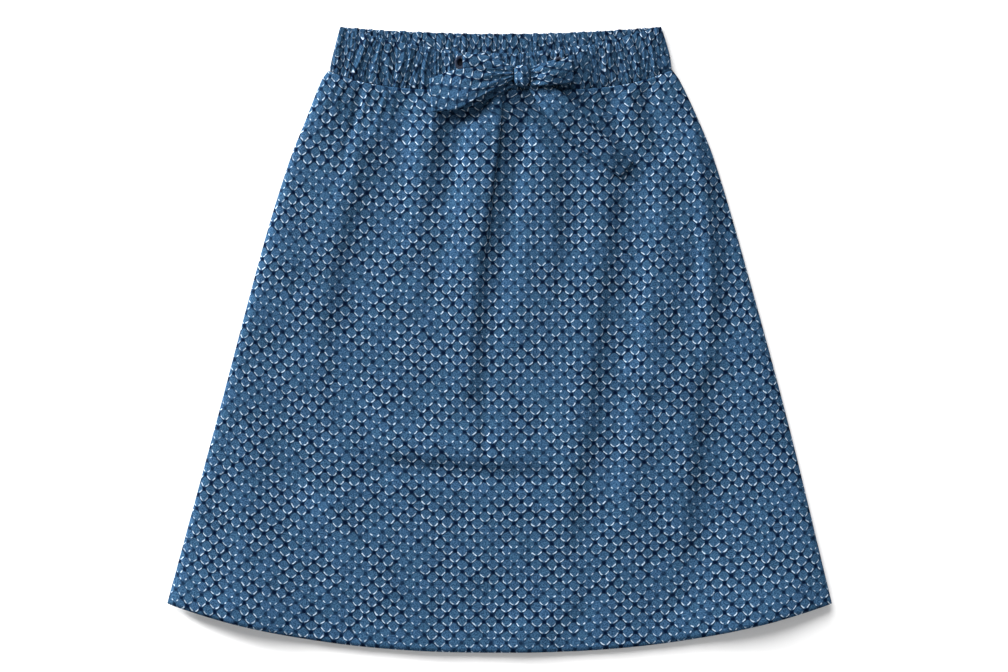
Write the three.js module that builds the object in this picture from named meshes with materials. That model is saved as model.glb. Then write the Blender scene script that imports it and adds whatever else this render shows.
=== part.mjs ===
// An A-line skirt with an elasticated waistband and a tie bow, laid flat with its front up.
// Millimetres. +X runs across to the wearer's left, +Y up to the waist, +Z up from the surface it lies on.
// The origin is the middle of the laid outline, on that surface. Left and right in names are as seen
// from above with the waist up.
import * as THREE from "three";

const { lerp, clamp, smoothstep } = THREE.MathUtils;

// Outline of the laid skirt
const HALF_HEM = 348.1; // half the width from side to side at the hem
const HEM_LOW = -328.1; // the hem's middle
const HEM_RISE = 52; // how far the hem's ends lie above its middle
const HEM_POWER = 2.35; // roundness of the hem's curve
const SEAM_LOW = 261.5; // middle of the seam between band and panel
const SEAM_RISE = 21;
const SEAM_POWER = 4;
const SEAM_HALF = 180; // half the width of the band at its seam
const BAND_TOP = 320.8; // middle of the back band's upper edge
const BAND_TOP_RISE = 7.3;
const BAND_TOP_HALF = 168; // half the width of the band at its upper edge
const FRONT_DIP = 21; // the front band's upper edge dips this far below the back's in the middle
const FRONT_DIP_POWER = 1.8;

// Distance from the middle to each side of the panels, from the seam down to the hem
const PANEL_SIDES = [
  { y: 283, left: 178.6, right: 180.8 },
  { y: 272.5, left: 186.4, right: 188.5 },
  { y: 230.5, left: 203.2, right: 208.4 },
  { y: 188.5, left: 220, right: 225.2 },
  { y: 104.5, left: 246.2, right: 250.4 },
  { y: -84.5, left: 296.6, right: 301.9 },
  { y: -276, left: HALF_HEM, right: HALF_HEM },
];

// The same for the waistband, whose right side bulges a little
const BAND_SIDES = [
  { y: 283, left: 178, right: 180.3 },
  { y: 293.5, left: 175.9, right: 179.2 },
  { y: 304, left: 173.3, right: 176.9 },
  { y: 328.1, left: 167, right: 169.4 },
];

// Cloth
const WALL = 1.6; // thickness of a panel where it lies flat
const SEAM_GAP = 0.3; // between two pieces at a seam, or one on the other
const HEM_INSET = 2; // the back hem lies this far inside the front's
const LAID = 2 * WALL + SEAM_GAP; // upper face of the front panel where it lies flat on the back
const MOST_LIFT = 4.8; // highest that a fold stands above that face
const LEAST_LIFT = 0.8; // below this a crease flattens out, so that it stays on the back panel
const UNDER_SHARE = 0.75; // how much of a fold's lift the underside follows
const EDGE_HEIGHT = 3; // height of the side seam's edge
const FRONT_ROLL = 9; // width of the rolled side on the front
const BACK_ROLL = 7;

// Lift of the front panel's large soft forms
const REST_LIFT = 0.5;
const SEAM_LIFT = 2.9; // the panel hangs from the top of the thick band
const SEAM_LIFT_LENGTH = 75;
const SIDE_LIFT = 2.6; // the folded side stands up softly
const SIDE_LIFT_LENGTH = 42;

// Both panels curl up a little at the hem, some way in from each side
const CURL_RISE = 9;
const CURL_X = 276; // from the middle to the highest place
const CURL_WIDTH = 58;
const CURL_LENGTH = 80; // how far up from the hem

// Small gathers that run down from the band into the front panel
const RIPPLES = 18;
const RIPPLE_RISE = 1;
const RIPPLE_LENGTH = 38;
const RIPPLE_DRIFT = 1.3; // they are spaced unevenly by this angle
const RIPPLE_DRIFT_LENGTH = 47;

// Folds and creases of the front panel: a path from its first end to its last, through one
// point between, its half width, and how far it rises, or sinks where the rise is negative
const FOLDS = [
  { name: "centre crease", from: [9, 262], via: [-2, 165], to: [-18, -25], width: 7, rise: -4.2 },
  { name: "left of the centre crease", from: [-6, 262], via: [-16, 170], to: [-34, 10], width: 11, rise: 2.4 },
  { name: "right of the centre crease", from: [24, 262], via: [16, 170], to: [0, 10], width: 13, rise: 2.2 },
  { name: "under the left loop", from: [-44, 250], via: [-49, 225], to: [-50, 165], width: 8, rise: -2.4 },
  { name: "beside the left loop", from: [-70, 255], via: [-76, 205], to: [-86, 120], width: 12, rise: 1.3 },
  { name: "below the long tail", from: [124, 200], via: [146, 85], to: [84, -285], width: 8, rise: -2.3 },
  { name: "right of that crease", from: [146, 200], via: [166, 85], to: [108, -285], width: 16, rise: 1.5 },
  { name: "right gather", from: [117, 262], via: [121, 225], to: [142, 180], width: 6, rise: -2.4 },
  { name: "outer right gather", from: [157, 268], via: [155, 240], to: [184, 190], width: 6, rise: -2.3 },
  { name: "ridge between them", from: [138, 264], via: [138, 232], to: [164, 175], width: 8, rise: 1.3 },
  { name: "left gather", from: [-99, 264], via: [-105, 175], to: [-162, 35], width: 9, rise: -1.9 },
  { name: "outer left gather", from: [-146, 268], via: [-155, 220], to: [-178, 150], width: 7, rise: -1.5 },
  { name: "packing crease", from: [-108, -131], via: [-15, -134], to: [74, -131], width: 6, rise: -1.5 },
  { name: "above the packing crease", from: [-100, -117], via: [-15, -120], to: [70, -117], width: 9, rise: 0.9 },
  { name: "left of the low hollow", from: [-148, -185], via: [-100, -262], to: [-5, -304], width: 18, rise: 1.1 },
  { name: "right of the low hollow", from: [20, -306], via: [92, -275], to: [108, -172], width: 17, rise: 1 },
  { name: "low right crease", from: [226, -130], via: [219, -190], to: [208, -250], width: 10, rise: -1.4 },
  { name: "low left crease", from: [-232, -120], via: [-236, -185], to: [-222, -250], width: 8, rise: -1.2 },
  { name: "low left ridge", from: [-252, -120], via: [-256, -185], to: [-246, -260], width: 10, rise: 1.1 },
  { name: "upper right ridge", from: [204, 205], via: [222, 100], to: [232, -20], width: 11, rise: 1.2 },
  { name: "upper left swell", from: [-222, 118], via: [-226, 85], to: [-230, 40], width: 24, rise: 0.9 },
  { name: "right dent", from: [110, -48], via: [142, -60], to: [178, -78], width: 13, rise: -0.9 },
];
const FOLD_STEPS = 12;
const FOLD_FADE = 0.45; // share of a fold's path from which it fades
const FOLD_END_SHARE = 0.25; // what is left of its rise at its last end

// Waistband: a casing of two layers over elastic, drawn into uneven gathers
const GATHERS = 34;
const GATHER_RISE = 1.4;
const BACK_GATHER_RISE = 1.2;
const GATHER_SIZE = 0.72; // mean size of a gather, as a share of the largest
const GATHER_SIZE_CHANGE = 0.28;
const GATHER_SIZE_RATE = 2.7;
const GATHER_DRIFTS = [
  { reach: 0.22, rate: 1.9, shifts: 1 },
  { reach: 0.08, rate: 4.3, shifts: 2 },
];
const BAND_THICK = 2.4;
const BACK_BAND_THICK = 2.6;
const BAND_EDGE = 1; // thickness left at the rounded side of a band
const BAND_ROLL = 7;
const BAND_JAG = 0.6; // the gathers make the upper edge uneven by this much
const BAND_ROUND = 0.16; // share of its height over which each long edge is rounded
const BAND_TOP_SHARE = 0.55; // thickness left at the upper edge, as a share of the middle's
const BAND_FOOT_SHARE = 0.8;
const FRONT_BAND_LEVEL = BACK_BAND_THICK + BACK_GATHER_RISE + SEAM_GAP;

// Bow
const TIE_THICK = 1.8;
const TIE_CROWN = 0.5; // a tie is this much thicker along its middle
const LOOP_WALL = 1.6;
const LOOP_SPACE = 3.5; // most room between the two legs of a loop
const LOOP_PINCH = 1.2; // room between them at the knot
const LOOP_OPENING = 0.5; // share of its length over which a loop opens
const LOOP_LEVEL = TIE_THICK + TIE_CROWN + 2 * SEAM_GAP; // loops lie on the ties and tails
const KNOT = {
  x: 23.6,
  y: 275.8,
  halfWidth: 8.6,
  halfLength: 11.4,
  taper: 0.24, // share of its width that is lost at each end
  bulge: 0.1, // share of its length that is lost at each side
  edge: 3.4,
  dome: 6,
};
const REST_REACH = 7; // the long tail bears on the highest cloth within this distance
const REST_POINTS = 8; // places looked at round each point
const BOW_LEVEL = FRONT_BAND_LEVEL + BAND_THICK + GATHER_RISE + SEAM_GAP; // on the band's crests

// Stretches of the tie: centre and width at a few stations, from the knot to the far end
const TIES = {
  tie_strip_left: [
    { x: 13.6, y: 281.2, width: 9 },
    { x: -6, y: 287.4, width: 14 },
    { x: -24, y: 290.6, width: 16.5 },
    { x: -38.5, y: 290.4, width: 14 },
  ],
  tie_strip_right: [
    { x: 34, y: 281, width: 8 },
    { x: 46, y: 284.2, width: 11 },
    { x: 60, y: 287, width: 12 },
  ],
  bow_tail_left: [
    { x: 13.6, y: 268.6, width: 8 },
    { x: -12, y: 262, width: 20 },
    { x: -40, y: 254, width: 24 },
    { x: -62, y: 249, width: 24 },
  ],
  bow_tail_right: [
    { x: 32.6, y: 266.4, width: 9 },
    { x: 50, y: 254.5, width: 25 },
    { x: 72, y: 232, width: 31 },
    { x: 93, y: 210, width: 26 },
    { x: 114, y: 193.5, width: 25 },
    { x: 133.6, y: 178.6, width: 23 },
  ],
};

// Loops: the two edges of the strip in plan, from the knot to the far fold
const LOOPS = {
  bow_loop_left: [
    { upperX: 14.3, upperY: 281, lowerX: 14.3, lowerY: 272.4 },
    { upperX: -15, upperY: 283.4, lowerX: -14, lowerY: 257 },
    { upperX: -46, upperY: 281.6, lowerX: -43, lowerY: 241.4 },
    { upperX: -73.6, upperY: 272.6, lowerX: -71, lowerY: 238 },
  ],
  bow_loop_right: [
    { upperX: 33, upperY: 281.4, lowerX: 33, lowerY: 265.4 },
    { upperX: 46, upperY: 286, lowerX: 45, lowerY: 265 },
    { upperX: 60, upperY: 290, lowerX: 60, lowerY: 266.4 },
    { upperX: 77, upperY: 297.6, lowerX: 77.6, lowerY: 269 },
  ],
};

// How finely the walls are divided
const PANEL_COLUMNS = 56;
const PANEL_ROWS = 18;
const ROW_CROWDING = 1.25; // above 1 the rows lie closer together towards the seam
const ROLL_COLUMNS = 4;
const GATHER_COLUMNS = 4;
const BAND_ROWS = [0, 0.14, 0.5, 0.86, 1];
const TIE_SPACING = 9;
const TIE_COLUMNS = 4;
const LOOP_COLUMNS = 5;
const LOOP_LEG_STEPS = 7;
const LOOP_BEND_STEPS = 5;
const KNOT_STEPS = 8;

// Curves of the outline

function seam(x) {
  return SEAM_LOW + SEAM_RISE * Math.abs(x / SEAM_HALF) ** SEAM_POWER;
}

function hem(x) {
  return HEM_LOW + HEM_RISE * Math.abs(x / HALF_HEM) ** HEM_POWER;
}

function backBandTop(x) {
  return BAND_TOP + BAND_TOP_RISE * (x / BAND_TOP_HALF) ** 2;
}

function frontBandTop(x) {
  const across = clamp(Math.abs(x / BAND_TOP_HALF), 0, 1);
  return backBandTop(x) - FRONT_DIP * (1 - across ** FRONT_DIP_POWER);
}

// A smooth value from a column of a table, by another column that rises or falls steadily
function fromTable(rows, key, column, at) {
  const rising = rows[rows.length - 1][key] > rows[0][key];
  const last = rows.length - 2;
  let i = 0;
  while (i < last && (rising ? at > rows[i + 1][key] : at < rows[i + 1][key])) i++;
  const slope = (k) => {
    const a = rows[Math.max(k - 1, 0)];
    const b = rows[Math.min(k + 1, rows.length - 1)];
    return (b[column] - a[column]) / (b[key] - a[key]);
  };
  const from = rows[i];
  const to = rows[i + 1];
  const span = to[key] - from[key];
  const t = clamp((at - from[key]) / span, 0, 1);
  const t2 = t * t;
  const t3 = t2 * t;
  return (
    (2 * t3 - 3 * t2 + 1) * from[column] +
    (t3 - 2 * t2 + t) * span * slope(i) +
    (3 * t2 - 2 * t3) * to[column] +
    (t3 - t2) * span * slope(i + 1)
  );
}

// A patch between an upper and a lower curve of x and a table of its two sides.
// across runs from 0 at the left to 1 at the right, down from 0 at the upper edge to 1.
function makePatch(upper, lower, sides, inset) {
  const top = Math.max(sides[0].y, sides[sides.length - 1].y);
  const bottom = Math.min(sides[0].y, sides[sides.length - 1].y);
  const left = (y) => -fromTable(sides, "y", "left", y) + inset;
  const right = (y) => fromTable(sides, "y", "right", y) - inset;
  const onUpper = (a) => {
    const x = lerp(left(top), right(top), a);
    return [x, upper(x)];
  };
  const onLower = (a) => {
    const x = lerp(left(bottom), right(bottom), a);
    return [x, lower(x)];
  };
  const corners = [onUpper(0), onUpper(1), onLower(0), onLower(1)];
  return (across, down) => {
    const u = onUpper(across);
    const l = onLower(across);
    const yLeft = lerp(corners[0][1], corners[2][1], down);
    const yRight = lerp(corners[1][1], corners[3][1], down);
    const sideLeft = [left(yLeft), yLeft];
    const sideRight = [right(yRight), yRight];
    return [0, 1].map(
      (k) =>
        (1 - down) * u[k] +
        down * l[k] +
        (1 - across) * sideLeft[k] +
        across * sideRight[k] -
        (1 - down) * ((1 - across) * corners[0][k] + across * corners[1][k]) -
        down * ((1 - across) * corners[2][k] + across * corners[3][k]),
    );
  };
}

// Closed meshes

// Adds the faces between two rows of point numbers
function stitch(index, a, b) {
  for (let i = 0; i + 1 < a.length; i++) {
    index.push(a[i], b[i], b[i + 1], a[i], b[i + 1], a[i + 1]);
  }
}

// A geometry from points and faces, with its faces turned to point out
function closedGeometry(points, index) {
  const a = new THREE.Vector3();
  const b = new THREE.Vector3();
  const c = new THREE.Vector3();
  let volume = 0;
  for (let i = 0; i < index.length; i += 3) {
    a.fromArray(points[index[i]]);
    b.fromArray(points[index[i + 1]]);
    c.fromArray(points[index[i + 2]]);
    volume += a.dot(b.cross(c));
  }
  if (volume < 0) index.reverse();
  const geometry = new THREE.BufferGeometry();
  geometry.setAttribute("position", new THREE.Float32BufferAttribute(points.flat(), 3));
  geometry.setIndex(index);
  geometry.computeVertexNormals();
  return geometry;
}

// A wall between an upper and a lower grid of points with the same rows and columns
function wallGeometry(upper, lower) {
  const rows = upper.length;
  const columns = upper[0].length;
  const points = [...upper.flat(), ...lower.flat()];
  const number = (side, r, c) => side * rows * columns + r * columns + c;
  const row = (side, r) => Array.from({ length: columns }, (_, c) => number(side, r, c));
  const column = (side, c) => Array.from({ length: rows }, (_, r) => number(side, r, c));
  const index = [];
  for (let r = 0; r + 1 < rows; r++) {
    stitch(index, row(0, r), row(0, r + 1));
    stitch(index, row(1, r + 1), row(1, r));
  }
  stitch(index, row(1, 0), row(0, 0));
  stitch(index, row(0, rows - 1), row(1, rows - 1));
  stitch(index, column(0, 0), column(1, 0));
  stitch(index, column(1, columns - 1), column(0, columns - 1));
  return closedGeometry(points, index);
}

// Front panel

// Distance from a point to a fold's path, and how far along it the nearest place is
function nearestOnFold(fold, x, y) {
  let best = Infinity;
  let along = 0;
  let [px, py] = fold.from;
  for (let k = 1; k <= FOLD_STEPS; k++) {
    const t = k / FOLD_STEPS;
    const s = 1 - t;
    const bend = 2 * s * t;
    // The path passes through its middle point halfway along
    const cx = 2 * fold.via[0] - (fold.from[0] + fold.to[0]) / 2;
    const cy = 2 * fold.via[1] - (fold.from[1] + fold.to[1]) / 2;
    const qx = s * s * fold.from[0] + bend * cx + t * t * fold.to[0];
    const qy = s * s * fold.from[1] + bend * cy + t * t * fold.to[1];
    const dx = qx - px;
    const dy = qy - py;
    const f = clamp(((x - px) * dx + (y - py) * dy) / (dx * dx + dy * dy), 0, 1);
    const distance = Math.hypot(x - px - f * dx, y - py - f * dy);
    if (distance < best) {
      best = distance;
      along = (k - 1 + f) / FOLD_STEPS;
    }
    px = qx;
    py = qy;
  }
  return { distance: best, along };
}

function foldLift(fold, x, y) {
  const { distance, along } = nearestOnFold(fold, x, y);
  const fade = lerp(1, FOLD_END_SHARE, smoothstep(along, FOLD_FADE, 1));
  return fold.rise * fade * Math.exp(-((distance / fold.width) ** 2));
}

// How far the front panel stands above its flat lie
function panelLift(x, y) {
  const below = seam(x) - y;
  const left = x + fromTable(PANEL_SIDES, "y", "left", y);
  const right = fromTable(PANEL_SIDES, "y", "right", y) - x;
  const side = Math.max(Math.min(left, right), 0);
  const drift = RIPPLE_DRIFT * Math.sin(x / RIPPLE_DRIFT_LENGTH);
  const ripple = Math.cos((Math.PI * RIPPLES * x) / SEAM_HALF + drift);
  let lift = REST_LIFT;
  lift += SEAM_LIFT * Math.exp(-((below / SEAM_LIFT_LENGTH) ** 2));
  lift += SIDE_LIFT * Math.exp(-((side / SIDE_LIFT_LENGTH) ** 2));
  lift += RIPPLE_RISE * ripple * Math.exp(-Math.max(below, 0) / RIPPLE_LENGTH);
  for (const fold of FOLDS) lift += foldLift(fold, x, y);
  // Soft limits keep the cloth on the panel below and under its highest fold
  if (lift < LEAST_LIFT) lift = LEAST_LIFT * Math.exp((lift - LEAST_LIFT) / LEAST_LIFT);
  return MOST_LIFT * Math.tanh(lift / MOST_LIFT);
}

// How far both panels stand above the surface near the ends of the hem
function hemCurl(x, y) {
  const aside = (Math.abs(x) - CURL_X) / CURL_WIDTH;
  const above = Math.max(y - hem(x), 0) / CURL_LENGTH;
  return CURL_RISE * Math.exp(-(aside ** 2) - above ** 2);
}

// Places across a panel: close together round each rolled side, even between them.
// turn is 0 at the very edge and 1 where the roll ends.
function panelColumns() {
  const places = [];
  for (let i = 0; i < ROLL_COLUMNS; i++) {
    const angle = (Math.PI / 2) * (i / ROLL_COLUMNS);
    places.push({ roll: 1 - Math.cos(angle), turn: Math.sin(angle), even: 0 });
  }
  for (let i = 0; i <= PANEL_COLUMNS; i++) places.push({ roll: 1, turn: 1, even: i / PANEL_COLUMNS });
  for (let i = ROLL_COLUMNS - 1; i >= 0; i--) places.push({ ...places[i], even: 1 });
  return places;
}

// The share across a row for a place, where the row is this wide
function acrossAt(place, roll, width) {
  const edge = (roll * place.roll) / width;
  const inner = roll / width;
  if (place.turn === 1) return lerp(inner, 1 - inner, place.even);
  return place.even === 0 ? edge : 1 - edge;
}

function panelGrid(patch, roll, height) {
  const places = panelColumns();
  return Array.from({ length: PANEL_ROWS + 1 }, (_, r) => {
    const down = (r / PANEL_ROWS) ** ROW_CROWDING;
    const width = patch(1, down)[0] - patch(0, down)[0];
    return places.map((place) => {
      const [x, y] = patch(acrossAt(place, roll, width), down);
      return [x, y, hemCurl(x, y) + height(x, y, place.turn)];
    });
  });
}

function frontPanel() {
  const upperEdge = (x) => seam(x) - SEAM_GAP;
  const face = makePatch(upperEdge, hem, PANEL_SIDES, 0);
  const inside = makePatch(upperEdge, hem, PANEL_SIDES, WALL);
  const top = (x, y, turn) => lerp(EDGE_HEIGHT, LAID + panelLift(x, y), turn);
  const under = (x, y, turn) =>
    lerp(EDGE_HEIGHT, LAID - WALL + UNDER_SHARE * panelLift(x, y), turn);
  return wallGeometry(
    panelGrid(face, FRONT_ROLL, top),
    panelGrid(inside, FRONT_ROLL - WALL, under),
  );
}

function backPanel() {
  const upperEdge = (x) => seam(x) - SEAM_GAP;
  const lowerEdge = (x) => hem(x) + HEM_INSET;
  const face = makePatch(upperEdge, lowerEdge, PANEL_SIDES, 0);
  const inside = makePatch(upperEdge, lowerEdge, PANEL_SIDES, WALL);
  const edge = EDGE_HEIGHT - SEAM_GAP;
  return wallGeometry(
    panelGrid(inside, BACK_ROLL - WALL, (x, y, turn) => lerp(edge, WALL, turn)),
    panelGrid(face, BACK_ROLL, (x, y, turn) => lerp(edge, 0, turn)),
  );
}

// Waistband

// Uneven places of the gathers across a band: full is 0 in a hollow and up to 1 on a crest
function gatherColumns(shift) {
  const drift = (g) =>
    GATHER_DRIFTS.reduce((sum, d) => sum + d.reach * Math.sin(d.rate * g + d.shifts * shift), g);
  const first = drift(0);
  const last = drift(GATHERS);
  const columns = [];
  for (let i = 0; i <= GATHER_COLUMNS * GATHERS; i++) {
    const g = i / GATHER_COLUMNS;
    const change = GATHER_SIZE_CHANGE * Math.sin(GATHER_SIZE_RATE * Math.floor(g) + shift);
    const size = GATHER_SIZE + change;
    columns.push({
      across: (drift(g) - first) / (last - first),
      full: size * Math.sin(Math.PI * g) ** 2,
    });
  }
  return columns;
}

// Thickness of a band's rounded upper edge and stitched lower edge, as a share of its middle
function bandSwell(down) {
  const top = lerp(BAND_TOP_SHARE, 1, smoothstep(down, 0, BAND_ROUND));
  const foot = lerp(1, BAND_FOOT_SHARE, smoothstep(down, 1 - BAND_ROUND, 1));
  return top * foot;
}

function bandGrid(patch, columns, height) {
  return BAND_ROWS.map((down) =>
    columns.map(({ across, full }) => {
      const [x, y] = patch(across, down);
      const width = patch(1, down)[0] - patch(0, down)[0];
      const inFromSide = Math.min(across, 1 - across) * width;
      const part = clamp(inFromSide / BAND_ROLL, 0, 1);
      const turn = Math.sqrt(1 - (1 - part) ** 2);
      const jag = BAND_JAG * full * (1 - down) ** 3;
      return [x, y + jag, height(full * bandSwell(down), turn, down)];
    }),
  );
}

function frontBand() {
  const patch = makePatch(frontBandTop, seam, BAND_SIDES, 0);
  const columns = gatherColumns(0.6);
  const top = (full, turn, down) => {
    const thick = BAND_THICK * bandSwell(down) + GATHER_RISE * full;
    return FRONT_BAND_LEVEL + lerp(BAND_EDGE, thick, turn);
  };
  return wallGeometry(
    bandGrid(patch, columns, top),
    bandGrid(patch, columns, () => FRONT_BAND_LEVEL),
  );
}

function backBand() {
  const patch = makePatch(backBandTop, seam, BAND_SIDES, 0);
  const columns = gatherColumns(2.9);
  const most = BACK_BAND_THICK + BACK_GATHER_RISE;
  const top = (full, turn) => lerp(most, BACK_BAND_THICK + BACK_GATHER_RISE * full, turn);
  return wallGeometry(
    bandGrid(patch, columns, top),
    bandGrid(patch, columns, (full, turn) => lerp(most - BAND_EDGE, 0, turn)),
  );
}

// Bow

// Level that the long tail bears on: the band's, and down the panel the highest cloth close by
function tailLevel(x, y) {
  if (y > seam(x) - REST_REACH) return BOW_LEVEL;
  let lift = panelLift(x, y);
  for (let k = 0; k < REST_POINTS; k++) {
    const angle = (2 * Math.PI * k) / REST_POINTS;
    const dx = REST_REACH * Math.cos(angle);
    const dy = REST_REACH * Math.sin(angle);
    lift = Math.max(lift, panelLift(x + dx, y + dy));
  }
  return Math.min(LAID + lift + SEAM_GAP, BOW_LEVEL);
}

// A flat stretch of tie through its stations, lying at a level that may change along it
function tie(stations, levelAt) {
  const centre = new THREE.CatmullRomCurve3(
    stations.map(({ x, y }) => new THREE.Vector3(x, y, 0)),
  );
  const steps = Math.ceil(centre.getLength() / TIE_SPACING);
  const bottom = [];
  const top = [];
  for (let i = 0; i <= steps; i++) {
    const t = i / steps;
    const at = centre.getPoint(t);
    const along = centre.getTangent(t);
    const k = Math.min(Math.floor(t * (stations.length - 1)), stations.length - 2);
    const part = t * (stations.length - 1) - k;
    const half = lerp(stations[k].width, stations[k + 1].width, smoothstep(part, 0, 1)) / 2;
    const lower = [];
    const upper = [];
    for (let c = 0; c <= TIE_COLUMNS; c++) {
      const side = (2 * c) / TIE_COLUMNS - 1;
      const x = at.x - along.y * half * side;
      const y = at.y + along.x * half * side;
      const z = levelAt(x, y);
      lower.push([x, y, z]);
      upper.push([x, y, z + TIE_THICK + TIE_CROWN * (1 - side * side)]);
    }
    bottom.push(lower);
    top.push(upper);
  }
  return wallGeometry(top, bottom);
}

// Side view of a loop, from the knot out along its lower leg, round the fold and back:
// out is the share of its length, up the height above its lowest face
function loopOutline(wallIn, length) {
  const outline = [];
  const tall = (out) =>
    LOOP_WALL * 2 + lerp(LOOP_PINCH, LOOP_SPACE, smoothstep(out, 0, LOOP_OPENING));
  const bend = tall(1) / 2;
  const start = wallIn / length;
  const end = 1 - bend / length;
  for (let i = 0; i <= LOOP_LEG_STEPS; i++) {
    outline.push({ out: lerp(start, end, i / LOOP_LEG_STEPS), up: wallIn });
  }
  for (let i = 1; i < LOOP_BEND_STEPS; i++) {
    const angle = Math.PI * (i / LOOP_BEND_STEPS - 0.5);
    const reach = bend - wallIn;
    outline.push({
      out: end + (reach * Math.cos(angle)) / length,
      up: bend + reach * Math.sin(angle),
    });
  }
  for (let i = LOOP_LEG_STEPS; i >= 0; i--) {
    const out = lerp(start, end, i / LOOP_LEG_STEPS);
    outline.push({ out, up: tall(out) - wallIn });
  }
  return outline;
}

// A loop of the strip: a wall round an open space that runs across its width
function loop(edges) {
  const rows = edges.map((row, i) => ({ ...row, out: i / (edges.length - 1) }));
  const far = rows[rows.length - 1];
  const length = Math.hypot(
    (far.upperX + far.lowerX - rows[0].upperX - rows[0].lowerX) / 2,
    (far.upperY + far.lowerY - rows[0].upperY - rows[0].lowerY) / 2,
  );
  const ring = (outline) =>
    outline.map(({ out, up }) => {
      const edge = (column) => fromTable(rows, "out", column, out);
      return Array.from({ length: LOOP_COLUMNS + 1 }, (_, c) => {
        const part = c / LOOP_COLUMNS;
        const x = lerp(edge("upperX"), edge("lowerX"), part);
        const y = lerp(edge("upperY"), edge("lowerY"), part);
        return [x, y, BOW_LEVEL + LOOP_LEVEL + up];
      });
    });
  const outside = ring(loopOutline(0, length));
  const within = ring(loopOutline(LOOP_WALL, length));
  const count = outside.length;
  const columns = LOOP_COLUMNS + 1;
  const points = [...outside.flat(), ...within.flat()];
  const number = (side, r, c) => side * count * columns + (r % count) * columns + c;
  const row = (side, r) => Array.from({ length: columns }, (_, c) => number(side, r, c));
  const rim = (side, c) => Array.from({ length: count + 1 }, (_, r) => number(side, r, c));
  const index = [];
  for (let r = 0; r < count; r++) {
    stitch(index, row(0, r), row(0, r + 1));
    stitch(index, row(1, r + 1), row(1, r));
  }
  stitch(index, rim(0, 0), rim(1, 0));
  stitch(index, rim(1, LOOP_COLUMNS), rim(0, LOOP_COLUMNS));
  return closedGeometry(points, index);
}

// The knot: a rounded lump, a little narrower at its ends
function knot() {
  const bottom = [];
  const top = [];
  for (let r = 0; r <= KNOT_STEPS; r++) {
    const along = 1 - (2 * r) / KNOT_STEPS;
    const half = KNOT.halfWidth * (1 - KNOT.taper * along ** 4);
    const lower = [];
    const upper = [];
    for (let c = 0; c <= KNOT_STEPS; c++) {
      const side = (2 * c) / KNOT_STEPS - 1;
      const x = KNOT.x + half * side;
      const y = KNOT.y + KNOT.halfLength * along * (1 - KNOT.bulge * side * side);
      const swell = (1 - side ** 4) * (1 - along ** 4);
      lower.push([x, y, BOW_LEVEL]);
      upper.push([x, y, BOW_LEVEL + KNOT.edge + KNOT.dome * swell]);
    }
    bottom.push(lower);
    top.push(upper);
  }
  return wallGeometry(top, bottom);
}

// The skirt

const CLOTH = { roughness: 0.88, metalness: 0 };

function piece(name, geometry, color) {
  const mesh = new THREE.Mesh(geometry, new THREE.MeshStandardMaterial({ color, ...CLOTH }));
  mesh.name = name;
  return mesh;
}

const panels = new THREE.Group();
panels.add(piece("back_panel", backPanel(), 0x2f4a68));
panels.add(piece("front_panel", frontPanel(), 0x3c5774));

const waistband = new THREE.Group();
waistband.add(piece("waistband_back", backBand(), 0x33506d));
waistband.add(piece("waistband_front", frontBand(), 0x3f5c7a));

const bow = new THREE.Group();
for (const [name, stations] of Object.entries(TIES)) {
  const levelAt = name === "bow_tail_right" ? tailLevel : () => BOW_LEVEL;
  bow.add(piece(name, tie(stations, levelAt), 0x40607f));
}
for (const [name, edges] of Object.entries(LOOPS)) bow.add(piece(name, loop(edges), 0x446484));
bow.add(piece("bow_knot", knot(), 0x466787));

const skirt = new THREE.Group();
skirt.add(panels, waistband, bow);

export default skirt;
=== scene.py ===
# An A-line cotton skirt with an elastic waistband and a tie bow, laid flat with its front up.
# Sizes are in millimetres until a mesh is made. +Y points to the waist, and left and right are
# as seen from above.
import math

import bpy
import numpy as np
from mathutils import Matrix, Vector, noise


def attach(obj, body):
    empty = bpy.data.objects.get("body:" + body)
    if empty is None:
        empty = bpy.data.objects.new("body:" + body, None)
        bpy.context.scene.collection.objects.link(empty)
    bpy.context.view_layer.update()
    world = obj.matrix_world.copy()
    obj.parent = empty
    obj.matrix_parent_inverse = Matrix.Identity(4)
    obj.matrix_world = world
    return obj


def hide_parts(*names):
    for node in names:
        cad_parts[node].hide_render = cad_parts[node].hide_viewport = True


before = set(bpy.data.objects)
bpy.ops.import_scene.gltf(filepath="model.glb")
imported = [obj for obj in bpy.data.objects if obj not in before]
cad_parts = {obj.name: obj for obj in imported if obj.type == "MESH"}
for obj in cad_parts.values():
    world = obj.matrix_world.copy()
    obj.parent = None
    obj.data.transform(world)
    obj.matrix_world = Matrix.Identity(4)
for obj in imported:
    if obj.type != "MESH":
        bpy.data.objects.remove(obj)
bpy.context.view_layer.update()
MM = 0.001


# Camera: straight above the laid skirt, with a long lens, so that the cloth shows as it was
# cut. The skirt lies a little left of the middle of the frame.
VIEW_WIDTH = 1.0584  # metres of cloth across the frame
CAMERA_X, CAMERA_Y, CAMERA_HEIGHT = 0.0047, 0.0037, 2.6
SENSOR = 36
camera = bpy.data.objects.new("camera", bpy.data.cameras.new("camera"))
camera.data.sensor_width = SENSOR
camera.data.lens = SENSOR * CAMERA_HEIGHT / VIEW_WIDTH
camera.location = (CAMERA_X, CAMERA_Y, CAMERA_HEIGHT)
bpy.context.collection.objects.link(camera)
bpy.context.scene.camera = camera
bpy.context.scene.view_settings.view_transform = "Standard"


# Floor and lamps: a white table top under one large soft lamp beyond the waist. A small one low
# at the left models the folds. A weak one beyond the hem and a white room lighten the shadows.
def linear(hex_colour):
    """An sRGB hex colour as linear red, green, blue and alpha."""
    parts = [int(hex_colour[i : i + 2], 16) / 255 for i in (1, 3, 5)]
    return [p / 12.92 if p <= 0.04045 else ((p + 0.055) / 1.055) ** 2.4 for p in parts] + [1.0]


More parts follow.
